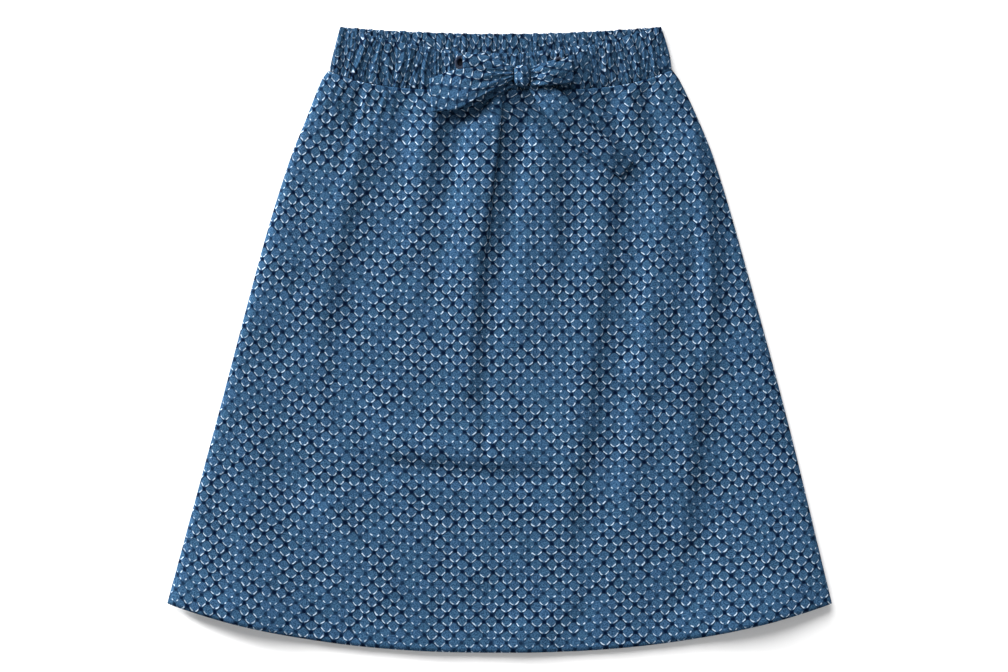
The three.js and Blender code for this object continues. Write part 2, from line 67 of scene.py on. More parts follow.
def add(tree, kind, inputs=None, **settings):
    """A node with its settings and its inputs. An input may be a value, a socket or a node,
    which is linked by its first output in use."""
    node = tree.nodes.new(kind)
    for key, value in settings.items():
        setattr(node, key, value)
    for key, value in (inputs or {}).items():
        if isinstance(value, bpy.types.Node):
            value = next(out for out in value.outputs if out.enabled)
        if isinstance(value, bpy.types.NodeSocket):
            tree.links.new(value, node.inputs[key])
        else:
            node.inputs[key].default_value = value
    return node


def painted_board():
    """Matt white painted board: nearly even, with the faintest mottle of the roller."""
    material = bpy.data.materials.new("painted_board")
    material.use_nodes = True
    tree = material.node_tree
    mottle = add(tree, "ShaderNodeTexNoise", {"Scale": 9.0, "Detail": 2.0})
    tint = add(tree, "ShaderNodeMix", {0: mottle, 6: linear("#fbfbfb"), 7: linear("#ffffff")},
               data_type="RGBA")
    shader = tree.nodes["Principled BSDF"]
    shader.inputs["Roughness"].default_value = 0.9
    shader.inputs["Specular IOR Level"].default_value = 0.1
    tree.links.new(tint.outputs[2], shader.inputs["Base Color"])
    return material


FLOOR_HALF, FLOOR_LEVEL = 12.0, -0.0002  # in metres, and a little below the cloth
floor_mesh = bpy.data.meshes.new("floor")
floor_mesh.from_pydata(
    [(x * FLOOR_HALF, y * FLOOR_HALF, FLOOR_LEVEL)
     for x, y in ((-1, -1), (1, -1), (1, 1), (-1, 1))],
    [], [(0, 1, 2, 3)],
)
floor_mesh.materials.append(painted_board())
floor = bpy.data.objects.new("floor", floor_mesh)
bpy.context.collection.objects.link(floor)

KEY_ELEVATION, KEY_BEARING = 30, 110  # in degrees, the bearing anticlockwise from +X
KEY_STRENGTH, KEY_SPREAD = 4.9, 50  # it fills a wide angle, so that its shadows are soft
key = bpy.data.objects.new("key_lamp", bpy.data.lights.new("key_lamp", "SUN"))
key.data.energy = KEY_STRENGTH
key.data.angle = math.radians(KEY_SPREAD)
key.rotation_euler = (0, math.radians(90 - KEY_ELEVATION), math.radians(KEY_BEARING))
bpy.context.collection.objects.link(key)

LAMPS = [
    dict(name="side_lamp", place=(-2.0, 1.0, 0.52), power=112, size=0.5),
    dict(name="fill_lamp", place=(0.5, -2.2, 1.3), power=18, size=1.2),
]
for row in LAMPS:
    lamp = bpy.data.objects.new(row["name"], bpy.data.lights.new(row["name"], "AREA"))
    lamp.data.energy = row["power"]
    lamp.data.size = row["size"]
    lamp.location = row["place"]
    lamp.rotation_euler = lamp.location.to_track_quat("Z", "Y").to_euler()
    bpy.context.collection.objects.link(lamp)

ROOM_STRENGTH = 0.25
world = bpy.data.worlds.new("white_room")
bpy.context.scene.world = world
world.use_nodes = True
world.node_tree.nodes["Background"].inputs["Color"].default_value = linear("#ffffff")
world.node_tree.nodes["Background"].inputs["Strength"].default_value = ROOM_STRENGTH


# Front panel: one shaped piece of printed cotton lawn, gathered lightly into the band, with
# soft folds running down from it, a packing crease across, and softly rolled sides.
PRINT_PITCH = 14.8  # from a dot to the next one straight across or up
DOT_SPACING = PRINT_PITCH / math.sqrt(2) * MM  # from a dot to its neighbour on the slant
THREAD_SPACING = 0.7 * MM  # coarser than lawn's 0.3 mm, so that the weave shows at all
SLUB_SIZE = 3.2 * MM
RELIEF = 0.25 * MM  # how deep the weave looks
WOBBLE_SIZE, WOBBLE = 9 * MM, 2.4 * MM  # the rows of dots run unevenly on the handled cloth
DOT_JITTER = 0.1  # and each dot is a little off its place, as a share of its cell
RIM = (0.405, 0.475)  # where the dark rim of a dot begins and is full, from its middle
KNOB = (0.23, 0.12)  # the same for the knob between four dots, from the cell's corner
SLIVER_OUTSIDE, SLIVER_INSIDE = (0.485, 0.445), (0.345, 0.39)  # and for the slivers' ring
SLIVER_SIDE, SLIVER_END = (-0.18, -0.26), (0.16, 0.05)
SPECK_SIZE = 1.5 * MM  # the printed ground is finely mottled
BREAK_SIZE = 2.6 * MM  # the pale slivers are uneven at about this size
PATCH_SIZE = 34 * MM  # soft patches, where the ink lies unevenly
PANEL_TONE = 0.66


def printed_cotton(name, tone):
    """Plain-woven lawn, screen printed in two blues and white, and matt. The print follows the
    cloth's own coordinates. tone lightens or darkens the whole cloth; the band's and the tie's
    lower tones are painted shade."""
    material = bpy.data.materials.new(name)
    material.use_nodes = True
    tree = material.node_tree
    maths, vectors, ramp = "ShaderNodeMath", "ShaderNodeVectorMath", "ShaderNodeMapRange"
    noises, mix = "ShaderNodeTexNoise", "ShaderNodeMix"
    soft = dict(interpolation_type="SMOOTHSTEP")
    colours = dict(data_type="RGBA")
    flat = dict(noise_dimensions="2D")

    # Each dot sits in a cell of a square grid that is turned by 45 degrees and slightly uneven
    place = add(tree, "ShaderNodeUVMap", uv_map="cloth")
    wobble = add(tree, noises, {"Vector": place, "Scale": 1 / WOBBLE_SIZE}, **flat)
    shift = add(tree, vectors, {0: wobble.outputs["Color"], 1: (0.5, 0.5, 0.5)},
                operation="SUBTRACT")
    shifted = add(tree, vectors, {0: shift, 1: (WOBBLE,) * 3, 2: place},
                  operation="MULTIPLY_ADD")
    slanted = add(tree, "ShaderNodeMapping", {"Vector": shifted, "Rotation": (0, 0, -math.pi / 4),
                                              "Scale": (1 / DOT_SPACING, 1 / DOT_SPACING, 0)})
    cell = add(tree, vectors, {0: slanted}, operation="FLOOR")
    inside = add(tree, vectors, {0: slanted}, operation="FRACTION")
    centred = add(tree, vectors, {0: inside, 1: (0.5, 0.5, 0)}, operation="SUBTRACT")
    chance = add(tree, "ShaderNodeTexWhiteNoise", {"Vector": cell}, **flat)
    chances = add(tree, "ShaderNodeSeparateColor", {0: chance.outputs["Color"]})
    jitter = add(tree, vectors, {0: chance.outputs["Color"], 1: (0.5, 0.5, 0.5)},
                 operation="SUBTRACT")
    away = add(tree, vectors, {0: jitter, 1: (DOT_JITTER, DOT_JITTER, 0), 2: centred},
               operation="MULTIPLY_ADD")
    sides = add(tree, vectors, {0: away}, operation="ABSOLUTE")
    split = add(tree, "ShaderNodeSeparateXYZ", {0: away})
    split_sides = add(tree, "ShaderNodeSeparateXYZ", {0: sides})
    circle = add(tree, vectors, {0: away}, operation="LENGTH").outputs["Value"]
    square = add(tree, maths, {0: split_sides.outputs[0], 1: split_sides.outputs[1]},
                 operation="MAXIMUM")
    radius = add(tree, mix, {0: 0.5, 2: square, 3: circle})
    folded = add(tree, vectors, {0: centred}, operation="ABSOLUTE")
    corner = add(tree, vectors, {0: folded, 1: (0.5, 0.5, 0)}, operation="DISTANCE")

    # The dots are mid blue, a few of them greener, and the darker blue shows round them. In
    # places the print is weaker, and its outlines break up.
    patches = add(tree, noises, {"Vector": place, "Scale": 1 / PATCH_SIZE, "Detail": 3.0}, **flat)
    whole = add(tree, ramp, {"Value": patches, "From Min": 0.4, "From Max": 0.56}, **soft)
    share = add(tree, maths, {0: chances.outputs[1], 1: 0.3}, operation="MULTIPLY")
    light = add(tree, mix, {0: share, 6: linear("#456b90"), 7: linear("#3f6c7e")}, **colours)
    dark = add(tree, mix, {0: chances.outputs[0], 6: linear("#1f3c5c"), 7: linear("#294a6c")},
               **colours)
    speck = add(tree, noises, {"Vector": place, "Scale": 1 / SPECK_SIZE, "Detail": 3.0}, **flat)
    specks = add(tree, ramp, {"Value": speck, "From Min": 0.34, "From Max": 0.66}, **soft)
    dot = add(tree, mix, {0: specks, 6: dark, 7: light}, **colours)
    rim_reach = add(tree, maths, {0: whole, 1: 0.4, 2: 0.45}, operation="MULTIPLY_ADD")
    rim = add(tree, ramp, {"Value": radius, "From Min": RIM[0], "From Max": RIM[1],
                           "To Max": rim_reach}, **soft)
    edged = add(tree, mix, {0: rim, 6: dot, 7: linear("#081c36")}, **colours)
    knob_reach = add(tree, maths, {0: whole, 1: 0.35, 2: 0.65}, operation="MULTIPLY_ADD")
    knob = add(tree, ramp, {"Value": corner.outputs["Value"], "From Min": KNOB[0],
                            "From Max": KNOB[1], "To Max": knob_reach}, **soft)
    ground = add(tree, mix, {0: knob, 6: edged, 7: linear("#00122e")}, **colours)

    # Pale slivers lie along the two lower edges of each dot. They are uneven, and shrink to
    # points where the print is weak.
    starts = add(tree, ramp, {"Value": radius, "From Min": SLIVER_INSIDE[0],
                              "From Max": SLIVER_INSIDE[1]}, **soft)
    stops = add(tree, ramp, {"Value": radius, "From Min": SLIVER_OUTSIDE[0],
                             "From Max": SLIVER_OUTSIDE[1]}, **soft)
    ring = add(tree, maths, {0: starts, 1: stops}, operation="MULTIPLY")
    breaks = add(tree, noises, {"Vector": place, "Scale": 1 / BREAK_SIZE, "Detail": 1.0}, **flat)
    vary = add(tree, ramp, {"Value": breaks, "From Min": 0.3, "From Max": 0.6, "To Min": 0.5})
    worn = add(tree, maths, {0: ring, 1: vary}, operation="MULTIPLY")
    slivers = []
    for down, along, bright in ((0, 1, 0), (1, 0, 2)):
        lower = add(tree, ramp, {"Value": split.outputs[down], "From Min": SLIVER_SIDE[0],
                                 "From Max": SLIVER_SIDE[1]}, **soft)
        length = add(tree, maths, {0: whole, 1: -0.11, 2: split_sides.outputs[along]},
                     operation="MULTIPLY_ADD")
        short = add(tree, ramp, {"Value": length, "From Min": SLIVER_END[0],
                                 "From Max": SLIVER_END[1]}, **soft)
        strength = add(tree, maths, {0: chances.outputs[bright], 1: 0.7, 2: 0.6},
                       operation="MULTIPLY_ADD")
        lit = add(tree, maths, {0: lower, 1: short}, operation="MULTIPLY")
        slivers.append(add(tree, maths, {0: lit, 1: strength}, operation="MULTIPLY"))
    either = add(tree, maths, {0: slivers[0], 1: slivers[1]}, operation="MAXIMUM")
    sliver = add(tree, maths, {0: either, 1: worn}, operation="MULTIPLY",
                 use_clamp=True)
    printed = add(tree, mix, {0: sliver, 6: ground, 7: linear("#d2e8ff")}, **colours)

    clouds = add(tree, ramp, {"Value": patches, "From Min": 0.3, "From Max": 0.7,
                              "To Min": 1.06 * tone, "To Max": 0.94 * tone})
    colour = add(tree, vectors, {0: printed, "Scale": clouds}, operation="SCALE")

    # The weave's threads cross at right angles, with thicker slubs here and there
    threads = []
    for turn in (0, 90):
        lie = add(tree, "ShaderNodeMapping", {"Vector": place, "Scale": (1 / THREAD_SPACING,) * 3,
                                              "Rotation": (0, 0, math.radians(turn))})
        wave = add(tree, "ShaderNodeTexWave", {"Vector": lie, "Scale": 0.5, "Distortion": 0.6})
        threads.append(wave.outputs["Fac"])
    weave = add(tree, maths, {0: threads[0], 1: threads[1]}, operation="ADD")
    slub = add(tree, noises, {"Vector": place, "Scale": 1 / SLUB_SIZE, "Detail": 2.0}, **flat)
    relief = add(tree, maths, {0: weave, 1: 0.3, 2: slub}, operation="MULTIPLY_ADD")
    bump = add(tree, "ShaderNodeBump", {"Height": relief, "Strength": 0.4, "Distance": RELIEF})

    shader = tree.nodes["Principled BSDF"]
    shader.inputs["Roughness"].default_value = 0.9
    shader.inputs["Specular IOR Level"].default_value = 0.04
    tree.links.new(colour.outputs[0], shader.inputs["Base Color"])
    tree.links.new(bump.outputs[0], shader.inputs["Normal"])
    return material


def wall(name, upper, lower, cloth, material):
    """A closed piece between an upper and a lower grid of points, with the cloth's own
    coordinates for its print. All are in millimetres, as rows by columns by values."""
    rows, columns, _ = upper.shape
    top, under = np.arange(2 * rows * columns).reshape(2, rows, columns)

    def strip(a, b):
        """Faces between two lines of point numbers."""
        return np.stack([a[:-1], b[:-1], b[1:], a[1:]], -1).reshape(-1, 4)

    faces = np.concatenate([
        np.stack([top[:-1, :-1], top[1:, :-1], top[1:, 1:], top[:-1, 1:]], -1).reshape(-1, 4),
        np.stack([under[:-1, :-1], under[:-1, 1:], under[1:, 1:], under[1:, :-1]], -1)
        .reshape(-1, 4),
        strip(under[0], top[0]),
        strip(top[-1], under[-1]),
        strip(top[:, 0], under[:, 0]),
        strip(under[:, -1], top[:, -1]),
    ])
    points = np.concatenate([upper.reshape(-1, 3), lower.reshape(-1, 3)]) * MM
    mesh = bpy.data.meshes.new(name)
    mesh.from_pydata(points.tolist(), [], faces.tolist())
    layer = mesh.uv_layers.new(name="cloth")
    flat = np.tile(cloth.reshape(-1, 2), (2, 1)) * MM
    corners = np.empty(len(mesh.loops), dtype=np.int32)
    mesh.loops.foreach_get("vertex_index", corners)
    layer.data.foreach_set("uv", flat[corners].astype(np.float32).ravel())
    mesh.shade_smooth()
    mesh.materials.append(material)
    piece = bpy.data.objects.new(name, mesh)
    bpy.context.collection.objects.link(piece)
    return piece


HALF_HEM = 348.1
HEM_LOW, HEM_RISE, HEM_POWER = -328.1, 52, 2.35
SEAM_LOW, SEAM_RISE, SEAM_POWER, SEAM_HALF = 261.5, 21, 4, 180
PANEL_SIDES = [
    dict(y=283, left=178.6, right=180.8),
    dict(y=272.5, left=186.4, right=188.5),
    dict(y=230.5, left=203.2, right=208.4),
    dict(y=188.5, left=220, right=225.2),
    dict(y=104.5, left=246.2, right=250.4),
    dict(y=-84.5, left=296.6, right=301.9),
    dict(y=-276, left=HALF_HEM, right=HALF_HEM),
]
CLOTH = 1.0  # thickness of a panel: its lawn, with the seams and hem that stiffen it
BACK_WALL = 1.6
SEAM_GAP = 0.3
EDGE_GAP = 0.05
LAID = 3.5  # upper face of the front panel where it lies flat on the back
MOST_LIFT, LEAST_LIFT = 8.5, -0.5
HOLLOW_LIFT = 0.8  # a hollow deeper than this is rounded off towards the least lift
BOW_ROOM = 4.2  # the cloth rises no more than this under the bow
BOW_X, BOW_LEFT, BOW_SLOPE, BOW_RIGHT = 14, 266, 0.41, 262  # the bow's lower edge
BOW_REACH = (84, 104)  # where that room ends at either side
EDGE_HEIGHT = 3
FRONT_ROLL = 9
REST_LIFT = 1.2
SEAM_LIFT, SEAM_LIFT_LENGTH = 1.2, 75
SIDE_LIFT, SIDE_LIFT_LENGTH = 2.6, 42
CURL_RISE, CURL_X, CURL_WIDTH, CURL_LENGTH = 9, 276, 58, 80
HEM_SPRING, HEM_SPRING_LENGTH = 1.5, 30  # the stitched hem springs off the table a little
GATHERS = 34
GATHER_SHIFT = 0.6  # the front's gathers start at this phase
GATHER_LIFT, GATHER_MIDDLE = 2.8, 0.45  # a gather lifts the cloth where it is over half full
GATHER_RUN = 44  # how far the gathers run on down the panel
GATHER_STEP = 60  # and the length over which they wander
CREST_POWER = 1.3  # the hollows between gathers are sharper than their crests
SMALL_GATHER, SMALL_GATHERS = 0.17, 2.7  # smaller ones lie on them, this many to each
SEWN_LIFT, SEWN_LENGTH = 2.8, 10  # the stitches hold the panel's edge level with the band's
KNOT_AT, KNOT_REACH, KNOT_PULL = 14, 15, 1.4  # where the knot pulls the seam up
CRUMPLE, CRUMPLE_SIZE = 0.8, 34  # small unevenness of cloth that has been handled
FRACTAL = (0.9, 2.1, 3)  # how fast it weakens, the step from size to size, and how many sizes
PANEL_COLUMNS, PANEL_ROWS, ROLL_COLUMNS = 240, 160, 7
ROW_CROWDING = 1.15
# Folds and creases: first end, a point halfway, last end, half width on the left and on the
# right (or below and above where it runs across), and rise, or depth where it is negative
FOLDS = [
    ("centre crease", (11, 262), (-4, 140), (-17, -120), 5, 8, -10),
    ("top of the centre crease", (10, 264), (6, 215), (-5, 100), 6, 11, -16),
    ("below the knot", (15, 258), (12, 244), (7, 222), 8, 8, -18),
    ("left lip of the centre crease", (1, 264), (-4, 215), (-14, 100), 7, 6, 15),
    ("left of the centre crease", (-6, 262), (-21, 140), (-34, -50), 20, 10, 8.5),
    ("right of the centre crease", (46, 250), (35, 150), (22, 0), 15, 26, 4.5),
    ("under the left loop", (-30, 256), (-45, 222), (-52, 150), 9, 8, -10),
    ("along the left loop", (-4, 262), (-22, 247), (-49, 232), 10, 10, -16),
    ("beside the left loop", (-68, 246), (-76, 200), (-90, 100), 16, 12, 4.6),
    ("long right crease", (140, 184), (122, -45), (84, -290), 15, 11, -4.6),
    ("left of the long crease", (114, 170), (92, -45), (56, -282), 26, 13, 3.8),
    ("right of the long crease", (174, 175), (152, -45), (116, -282), 13, 26, 3.4),
    ("beside the tail", (73, 268), (80, 256), (93, 240), 6, 7, -15),
    ("below the tail", (30, 243), (64, 211), (117, 168), 8, 7, -16),
    ("right gather", (117, 262), (121, 225), (142, 170), 7, 7, -5),
    ("outer right gather", (157, 268), (155, 240), (184, 170), 7, 7, -5),
    ("ridge between them", (138, 264), (140, 232), (164, 165), 10, 9, 3.8),
    ("left gather", (-99, 264), (-108, 185), (-134, 100), 10, 9, -4.6),
    ("left hollow", (-118, 150), (-140, 70), (-166, -40), 17, 22, -3.4),
    ("left of the hollow", (-150, 200), (-176, 90), (-200, -30), 28, 14, 3.8),
    ("outer left gather", (-146, 268), (-155, 220), (-180, 140), 8, 8, -4.2),
    ("packing crease", (-120, -134), (-15, -144), (84, -144), 7, 7, -5),
    ("above the packing crease", (-110, -115), (-15, -124), (78, -125), 10, 24, 4),
    ("low left line", (-176, -180), (-128, -246), (-84, -296), 26, 11, 4.2),
    ("low right of the middle", (30, -302), (78, -275), (98, -205), 16, 16, 2.6),
    ("low right crease", (228, -50), (221, -160), (205, -262), 11, 16, -4),
    ("left of the low crease", (202, -40), (195, -150), (180, -255), 26, 12, 3.6),
    ("low left swell", (-254, -110), (-259, -185), (-248, -266), 24, 20, 2),
    ("upper right ridge", (204, 210), (219, 95), (214, -40), 9, 7, 5.6),
    ("behind that ridge", (230, 180), (240, 70), (234, -60), 10, 18, -3),
    ("upper left swell", (-222, 118), (-226, 85), (-230, 40), 24, 24, 2.6),
    ("right dent", (137, -50), (158, -66), (184, -77), 7, 7, -4),
    ("above the dent", (134, -32), (158, -46), (186, -57), 8, 14, 3.2),
    ("small left crease", (-60, 96), (-66, 60), (-78, 20), 9, 9, -2),
    ("small middle crease", (50, 190), (56, 120), (52, 40), 12, 9, 2.6),
]
FOLD_STEPS = 12
FOLD_TURN = 3  # its half width changes from left to right within this distance
FOLD_END, FOLD_FADES = 0.25, 0.45  # the share of its rise at its last end, and where it fades
CREASE_POWER = 1.4  # a crease is sharper at its bottom than a fold on its crest

# The bow draws the lips of the centre crease together
DRAWN_LINE = ((-120, 100, 215, 264), (-17, -4.5, 6, 10))  # the crease's Y and X
DRAWN_REACH, DRAWN_LEAN = 13, 0.6
DRAWN_LOW, DRAWN_FULL = 90, 200  # the Y where the lean begins, and where it is full


def seam(x):
    """The seam between the panels and the band."""
    return SEAM_LOW + SEAM_RISE * np.abs(x / SEAM_HALF) ** SEAM_POWER


def hem(x):
    """The front's hem."""
    return HEM_LOW + HEM_RISE * np.abs(x / HALF_HEM) ** HEM_POWER


def smooth(value, low, high):
    """A gentle step from 0 at low to 1 at high."""
    t = np.clip((value - low) / (high - low), 0, 1)
    return t * t * (3 - 2 * t)


def from_table(rows, key, column, at):
    """A smooth value from a column of a table, by another column that runs one way."""
    keys = np.array([row[key] for row in rows], float)
    values = np.array([row[column] for row in rows], float)
    if keys[0] > keys[-1]:
        keys, values = keys[::-1], values[::-1]
    before = np.maximum(np.arange(len(keys)) - 1, 0)
    after = np.minimum(np.arange(len(keys)) + 1, len(keys) - 1)
    slopes = (values[after] - values[before]) / (keys[after] - keys[before])
    at = np.clip(at, keys[0], keys[-1])
    i = np.clip(np.searchsorted(keys, at, side="right") - 1, 0, len(keys) - 2)
    span = keys[i + 1] - keys[i]
    t = (at - keys[i]) / span
    return (
        (2 * t**3 - 3 * t**2 + 1) * values[i]
        + (t**3 - 2 * t**2 + t) * span * slopes[i]
        + (3 * t**2 - 2 * t**3) * values[i + 1]
        + (t**3 - t**2) * span * slopes[i + 1]
    )


def patch(upper, lower, sides, inset, across, down):
    """Points between an upper and a lower curve and a table of the sides. across runs from
    0 at the left to 1 at the right, and down from 0 at the upper edge to 1."""
    across, down = np.broadcast_arrays(across, down)
    ys = [row["y"] for row in sides]

    def left(y):
        return -from_table(sides, "y", "left", y) + inset

    def right(y):
        return from_table(sides, "y", "right", y) - inset

    def on_curve(curve, y, a):
        x = left(y) + (right(y) - left(y)) * a
        return np.stack([x, curve(x)], -1)

    a, d = across[..., None], down[..., None]
    top, bottom = on_curve(upper, max(ys), across), on_curve(lower, min(ys), across)
    ends = [on_curve(upper, max(ys), np.array(e, float)) for e in (0, 1)]
    ends += [on_curve(lower, min(ys), np.array(e, float)) for e in (0, 1)]
    y_left = ends[0][1] + (ends[2][1] - ends[0][1]) * down
    y_right = ends[1][1] + (ends[3][1] - ends[1][1]) * down
    side_left = np.stack([left(y_left), y_left], -1)
    side_right = np.stack([right(y_right), y_right], -1)
    corners = (1 - d) * ((1 - a) * ends[0] + a * ends[1]) + d * ((1 - a) * ends[2] + a * ends[3])
    return (1 - d) * top + d * bottom + (1 - a) * side_left + a * side_right - corners


def gathers(g, down, shift):
    """Fullness of the gathers, 0 in a hollow and about 1 on a crest. They wander, differ in
    size and have smaller ones on them. g counts them from the left."""
    phase = g + 0.25 * np.sin(1.3 * g + 3.1 * down + shift) + 0.1 * np.sin(4.3 * g - 2 * down)
    size = 0.7 + 0.3 * np.sin(2.7 * phase + 1.5 * down + shift)
    crest = np.abs(np.sin(np.pi * phase)) ** CREST_POWER
    small = SMALL_GATHER * np.sin(2 * np.pi * SMALL_GATHERS * phase + 4 * down + shift)
    return np.clip(size * crest + small, -0.1, 1.1), crest


def fold_lift(x, y):
    """The sum of all the folds and creases at each place."""
    total = np.zeros_like(x)
    for _, start, via, end, left, right, rise in FOLDS:
        start, via, end = (np.array(p, float) for p in (start, via, end))
        control = 2 * via - (start + end) / 2
        best = np.full_like(x, 1e9)
        along = np.zeros_like(x)
        aside = np.zeros_like(x)
        p = start
        for k in range(1, FOLD_STEPS + 1):
            t = k / FOLD_STEPS
            q = (1 - t) ** 2 * start + 2 * t * (1 - t) * control + t * t * end
            dx, dy = q - p
            f = np.clip(((x - p[0]) * dx + (y - p[1]) * dy) / (dx * dx + dy * dy), 0, 1)
            distance = np.hypot(x - p[0] - f * dx, y - p[1] - f * dy)
            nearer = distance < best
            best = np.where(nearer, distance, best)
            along = np.where(nearer, (k - 1 + f) / FOLD_STEPS, along)
            cross = dx * (y - p[1]) - dy * (x - p[0])
            aside = np.where(nearer, cross / math.hypot(dx, dy), aside)
            p = q
        share = smooth(aside, -FOLD_TURN, FOLD_TURN)
        width = left + (right - left) * share
        fade = FOLD_END + (1 - FOLD_END) * (1 - smooth(along, FOLD_FADES, 1))
        total += rise * fade * np.exp(-((best / width) ** (2 if rise > 0 else CREASE_POWER)))
    return total


def uneven(x, y, size, seed):
    """Smooth chance values from about -1 to 1, with features of about this size."""
    places = zip(np.ravel(x) / size, np.ravel(y) / size)
    values = [noise.fractal(Vector((a, b, seed)), *FRACTAL) for a, b in places]
    return np.array(values).reshape(np.shape(x))


def panel_lift(x, y):
    """How far the front panel stands above its flat lie."""
    below = seam(x) - y
    down = np.maximum(below, 0)
    left = from_table(PANEL_SIDES, "y", "left", y)
    right = from_table(PANEL_SIDES, "y", "right", y)
    side = np.maximum(np.minimum(x + left, right - x), 0)
    fan = np.where(x < 0, x / left, x / right)  # the gathers spread with the cut
    full, _ = gathers((fan + 1) * GATHERS / 2, 1 + down / GATHER_STEP, GATHER_SHIFT)
    lift = REST_LIFT + SEAM_LIFT * np.exp(-((below / SEAM_LIFT_LENGTH) ** 2))
    lift += SIDE_LIFT * np.exp(-((side / SIDE_LIFT_LENGTH) ** 2))
    lift += GATHER_LIFT * (full - GATHER_MIDDLE) * np.exp(-down / GATHER_RUN)
    lift += fold_lift(x, y)
    lift += CRUMPLE * uneven(x, y, CRUMPLE_SIZE, seed=3.7)
    span = HOLLOW_LIFT - LEAST_LIFT
    rounded = LEAST_LIFT + span * np.exp((np.minimum(lift, HOLLOW_LIFT) - HOLLOW_LIFT) / span)
    lift = np.where(lift < HOLLOW_LIFT, rounded, lift)
    pulled = np.exp(-(((x - KNOT_AT) / KNOT_REACH) ** 2))
    sewn = np.exp(-((down / (SEWN_LENGTH * (1 - 0.5 * pulled))) ** 2))
    lift = lift * (1 - sewn) + (SEWN_LIFT + KNOT_PULL * pulled) * sewn
    edge = np.where(x < BOW_X, BOW_LEFT + BOW_SLOPE * x, BOW_RIGHT)
    bow = smooth(y, edge - 18, edge - 2) * (1 - smooth(np.abs(x), *BOW_REACH))
    most = MOST_LIFT + (BOW_ROOM - MOST_LIFT) * bow
    return np.where(lift > 0, most * np.tanh(lift / most), lift)


def drawn_in(plan, lift):
    """The plan with the lips of the centre crease leaning over it, as the bow draws them in."""
    x, y = plan[..., 0], plan[..., 1]
    aside = x - np.interp(y, *DRAWN_LINE)
    near = np.exp(-((aside / DRAWN_REACH) ** 2)) * np.tanh(aside / 2)
    along = smooth(y, DRAWN_LOW, DRAWN_FULL) * smooth(seam(x) - y, 2, 16)
    moved = DRAWN_LEAN * np.maximum(lift, 0) * near * along
    return np.stack([x - moved, y], -1)


def hem_curl(x, y):
    """How far both panels stand above the table along the hem, and most near its ends."""
    aside = (np.abs(x) - CURL_X) / CURL_WIDTH
    above = np.maximum(y - hem(x), 0)
    spring = HEM_SPRING * np.exp(-((above / HEM_SPRING_LENGTH) ** 2))
    return spring + CURL_RISE * np.exp(-(aside**2) - (above / CURL_LENGTH) ** 2)


def panel_plan(upper, lower, inset, roll_width, columns, rows):
    """The plan of a panel's grid, and how far each column has turned round the side."""
    angle = np.linspace(0, np.pi / 2, ROLL_COLUMNS + 1)[:-1]
    roll = np.concatenate([1 - np.cos(angle), np.ones(columns + 1), (1 - np.cos(angle))[::-1]])
    turn = np.concatenate([np.sin(angle), np.ones(columns + 1), np.sin(angle)[::-1]])
    even = np.concatenate([np.full(ROLL_COLUMNS, -1.0), np.linspace(0, 1, columns + 1),
                           np.full(ROLL_COLUMNS, 2.0)])
    down = (np.arange(rows + 1) / rows)[:, None] ** ROW_CROWDING
    ends = patch(upper, lower, PANEL_SIDES, inset, np.array([[0.0, 1.0]]), down)
    inner = roll_width / (ends[:, 1, 0] - ends[:, 0, 0])[:, None]
    edge = inner * roll
    across = np.where(even < 0, edge, np.where(even > 1, 1 - edge, inner + (1 - 2 * inner) * even))
    return patch(upper, lower, PANEL_SIDES, inset, across, down), turn


ROW_BEND_LEFT, ROW_BEND_RIGHT = 0.0003, 0.0002  # the print's rows sag to the middle
COLUMN_SPREAD, SPREAD_FROM = 0.0002, 20  # and its columns fan out to the hem
GRAIN_DRIFT_ACROSS, GRAIN_DRIFT_UP = (1.6, 70), (1.4, 60)  # how much, and over what length
SQUEEZE = 2.0  # more cloth than shows is hidden in a fold
EVENED = 0.8  # share of it that the folds beside it make up for
SIDE_SQUEEZE, SIDE_SQUEEZE_LENGTH = 7, 32  # and the sides roll some under


def panel_cloth(plan, height):
    """Places on the cloth before it was laid: its grain follows the cut, and each fold
    takes up cloth, so the print closes up on its flanks."""
    x, y = plan[..., 0], plan[..., 1]
    rise = np.diff(height, axis=1, prepend=height[:, :1])
    run = np.maximum(np.abs(np.diff(x, axis=1, prepend=x[:, :1] - 1)), 1e-3)
    extra = np.cumsum(SQUEEZE * (np.hypot(rise, run) - run), axis=1)
    middle = extra.shape[1] // 2
    extra -= extra[:, [middle]]
    part = np.arange(extra.shape[1]) / middle - 1
    extra -= EVENED * np.where(part < 0, -part * extra[:, :1], part * extra[:, -1:])
    side = np.minimum(x - x[:, :1], x[:, -1:] - x)
    rolled = np.sign(x) * SIDE_SQUEEZE * np.exp(-side / SIDE_SQUEEZE_LENGTH)
    drift, size = GRAIN_DRIFT_ACROSS
    spread = 1 + COLUMN_SPREAD * (y - SPREAD_FROM)
    u = x * spread + extra + rolled + drift * uneven(x, y, size, seed=1.2)
    drift, size = GRAIN_DRIFT_UP
    bend = np.where(x < 0, ROW_BEND_LEFT, ROW_BEND_RIGHT)
    v = y - bend * x * x + drift * uneven(x, y, size, seed=8.4)
    return np.stack([u, v], -1)


def below_seam(x):
    """A panel's upper edge, which meets the band's lower edge without touching it."""
    return seam(x) - EDGE_GAP


